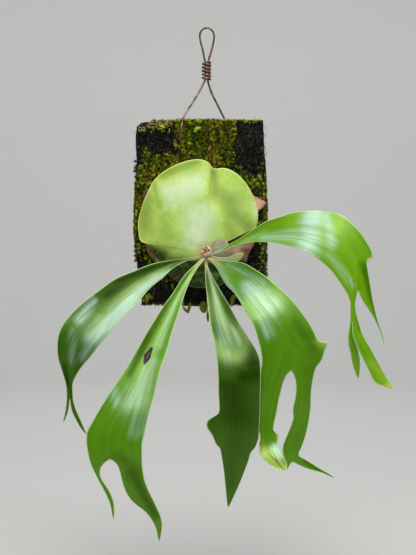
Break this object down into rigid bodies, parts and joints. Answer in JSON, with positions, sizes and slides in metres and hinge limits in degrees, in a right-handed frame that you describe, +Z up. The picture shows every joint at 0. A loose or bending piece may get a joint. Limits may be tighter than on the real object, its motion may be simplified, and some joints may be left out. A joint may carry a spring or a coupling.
{
  "type": "mounted staghorn fern",
  "caption": "Young staghorn fern with a rounded shield frond and forked antler fronds, grown on a mossy fibre slab that hangs from a twisted wire loop.",
  "frame": {"origin": "on the wall plane at the inside top of the wire loop, where a screw or hook carries the plant", "axes": "+Z up, -Y out from the wall to the front, +X to the right as seen from the front; the slab's flat back lies in y = 0"},
  "size_m": [0.3256, 0.1735, 0.5341],
  "materials": {
    "slab": "dark fibrous slab with moss",
    "moss": "moss and roots",
    "shield": "pale green, matt with a soft sheen",
    "dry": "dry and brown",
    "felt": "grey-green felt",
    "young": "pale green",
    "bud": "reddish brown scales",
    "frond": "leathery green with a soft sheen",
    "wire": "dull copper-brown wire"
  },
  "bodies": {
    "root": {"mount_board": "slab", "root_mound": "moss", "old_shield_frond": "dry", "main_shield_frond": "shield", "young_shield_frond": "felt", "young_antler_frond": "young", "crown_bud": "bud", "frond_left": "frond", "frond_lower_left": "frond", "frond_centre": "frond", "frond_lower_right": "frond", "frond_right": "frond", "wire_hanger": "wire", "wire_binding": "wire"}
  },
  "joints": []
}
